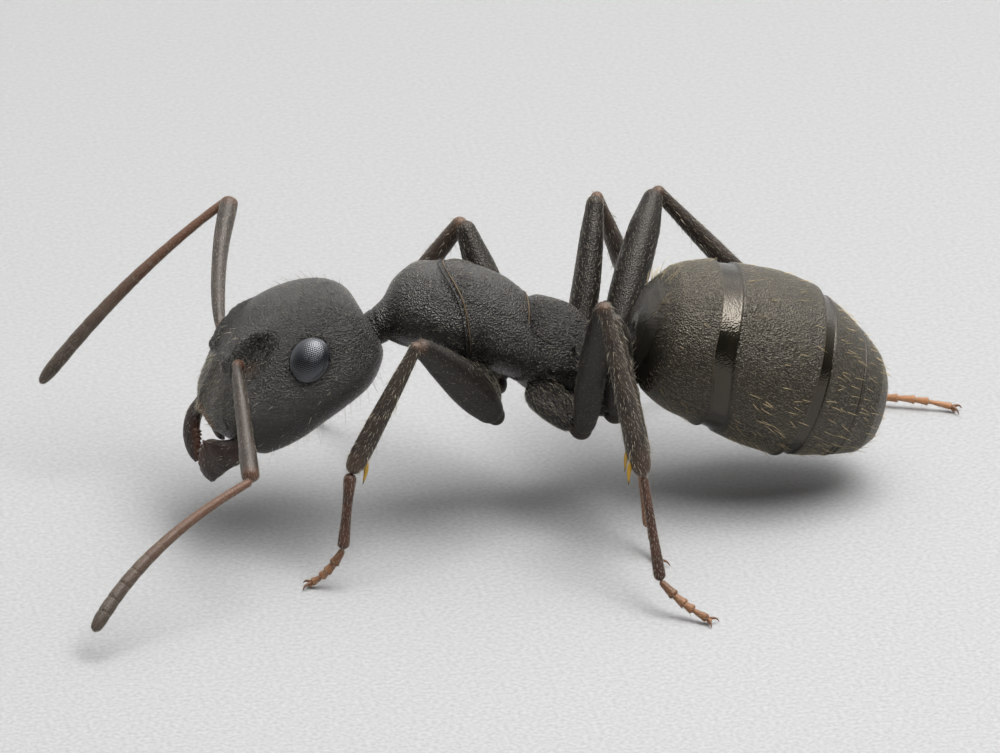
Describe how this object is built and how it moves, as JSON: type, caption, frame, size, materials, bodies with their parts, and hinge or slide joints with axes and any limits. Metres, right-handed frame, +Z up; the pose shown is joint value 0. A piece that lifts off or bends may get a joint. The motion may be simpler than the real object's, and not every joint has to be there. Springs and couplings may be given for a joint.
{
  "type": "black ant, life-size display model",
  "caption": "Life-size still model of a black worker ant standing on its feet, head turned down, jaws open, feelers spread and bent forwards.",
  "frame": {"origin": "on the floor, under the middle of the whole animal's box", "axes": "+Z up; the head is at -X, the gaster and its tip at +X, and the ant's left side faces -Y"},
  "size_m": [0.012, 0.0072, 0.0037],
  "materials": {
    "cuticle": "black shell with a fine leathery grain, satin, with thin golden-grey down",
    "gaster": "black shell under dense short golden-grey down, with smooth glossy bands",
    "limb": "very dark brown shell with pale short hairs, satin",
    "tarsus": "reddish-brown shell with amber joints and golden hairs",
    "feeler": "reddish-brown shell with dense grey down",
    "eye": "dark grey compound eye with fine facets",
    "mandible": "dark red-brown horn, striped and pitted, with black teeth"
  },
  "bodies": {
    "root": {"head": "cuticle", "pronotum": "cuticle", "mesothorax": "cuticle", "propodeum": "cuticle", "petiole": "cuticle", "gaster_1": "gaster", "gaster_2": "gaster", "gaster_3": "gaster", "gaster_4": "gaster", "eye_left": "eye", "mandible_left": "mandible", "scape_left": "feeler", "flagellum_left": "feeler", "eye_right": "eye", "mandible_right": "mandible", "scape_right": "feeler", "flagellum_right": "feeler", "coxa_front_left": "cuticle", "femur_front_left": "limb", "tibia_front_left": "limb", "tarsus_front_left": "tarsus", "coxa_front_right": "cuticle", "femur_front_right": "limb", "tibia_front_right": "limb", "tarsus_front_right": "tarsus", "coxa_middle_left": "cuticle", "femur_middle_left": "limb", "tibia_middle_left": "limb", "tarsus_middle_left": "tarsus", "coxa_middle_right": "cuticle", "femur_middle_right": "limb", "tibia_middle_right": "limb", "tarsus_middle_right": "tarsus", "coxa_hind_left": "cuticle", "femur_hind_left": "limb", "tibia_hind_left": "limb", "tarsus_hind_left": "tarsus", "coxa_hind_right": "cuticle", "femur_hind_right": "limb", "tibia_hind_right": "limb", "tarsus_hind_right": "tarsus"}
  },
  "joints": []
}
